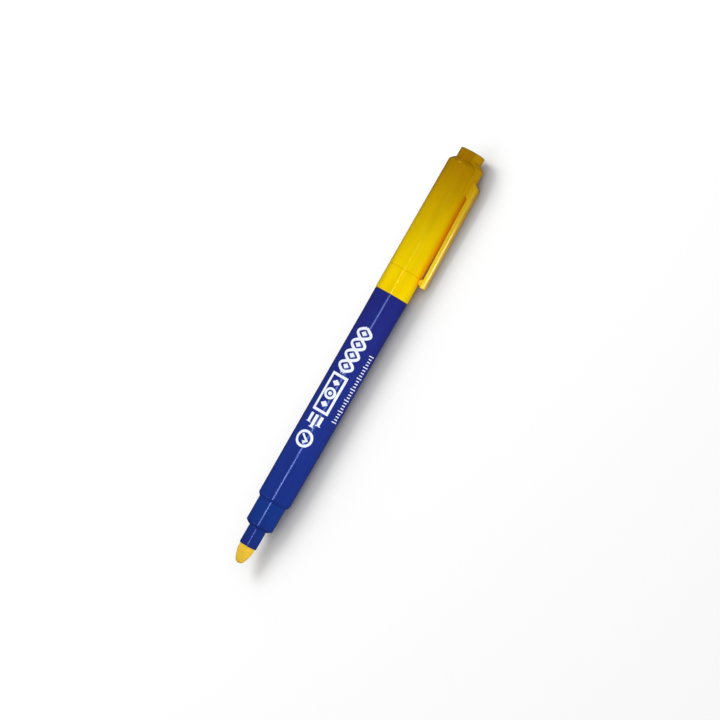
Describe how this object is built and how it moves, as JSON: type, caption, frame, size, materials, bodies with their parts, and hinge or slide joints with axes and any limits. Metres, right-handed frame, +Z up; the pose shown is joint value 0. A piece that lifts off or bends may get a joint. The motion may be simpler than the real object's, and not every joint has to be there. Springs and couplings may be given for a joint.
{
  "type": "counterfeit detector pen",
  "caption": "Felt-tip counterfeit detector pen with a bullet nib, a blue barrel and a yellow clip cap pushed onto the tail.",
  "frame": {"origin": "on the surface that the pen lies on, below the middle of its bounding box", "axes": "+X along the pen from the nib to the cap's closed end, +Z up, and the clip on the -Y side"},
  "size_m": [0.1464, 0.0138, 0.0115],
  "materials": {
    "blue_plastic": "smooth glossy moulded plastic",
    "yellow_plastic": "smooth glossy moulded plastic",
    "nib_fibre": "ground bonded fibre, soaked with yellow ink",
    "reservoir_fibre": "bonded fibre rod, soaked with ink",
    "clear_film": "thin plastic wrap",
    "liner_plastic": "soft natural polyethylene"
  },
  "bodies": {
    "pen": {"barrel": "blue_plastic", "nib_holder": "blue_plastic", "bullet_nib": "nib_fibre", "ink_reservoir": "reservoir_fibre", "reservoir_film": "clear_film", "tail_plug": "blue_plastic"},
    "cap": {"cap_body": "yellow_plastic", "inner_seal_cup": "liner_plastic", "clip_insert": "yellow_plastic"},
    "clip": {"clip_arm": "yellow_plastic"}
  },
  "joints": [
    {"name": "cap_slide", "type": "slide", "parent": "pen", "child": "cap", "axis": [1, 0, 0], "range_m": [0, 0.02]},
    {"name": "clip_flex", "type": "hinge", "parent": "cap", "child": "clip", "pos_m": [0.06515, -0.00404, 0.00293], "axis": [0, -0.4802, 0.8771], "range_deg": [0, 4], "stiffness_Nm_per_rad": 1.5}
  ]
}
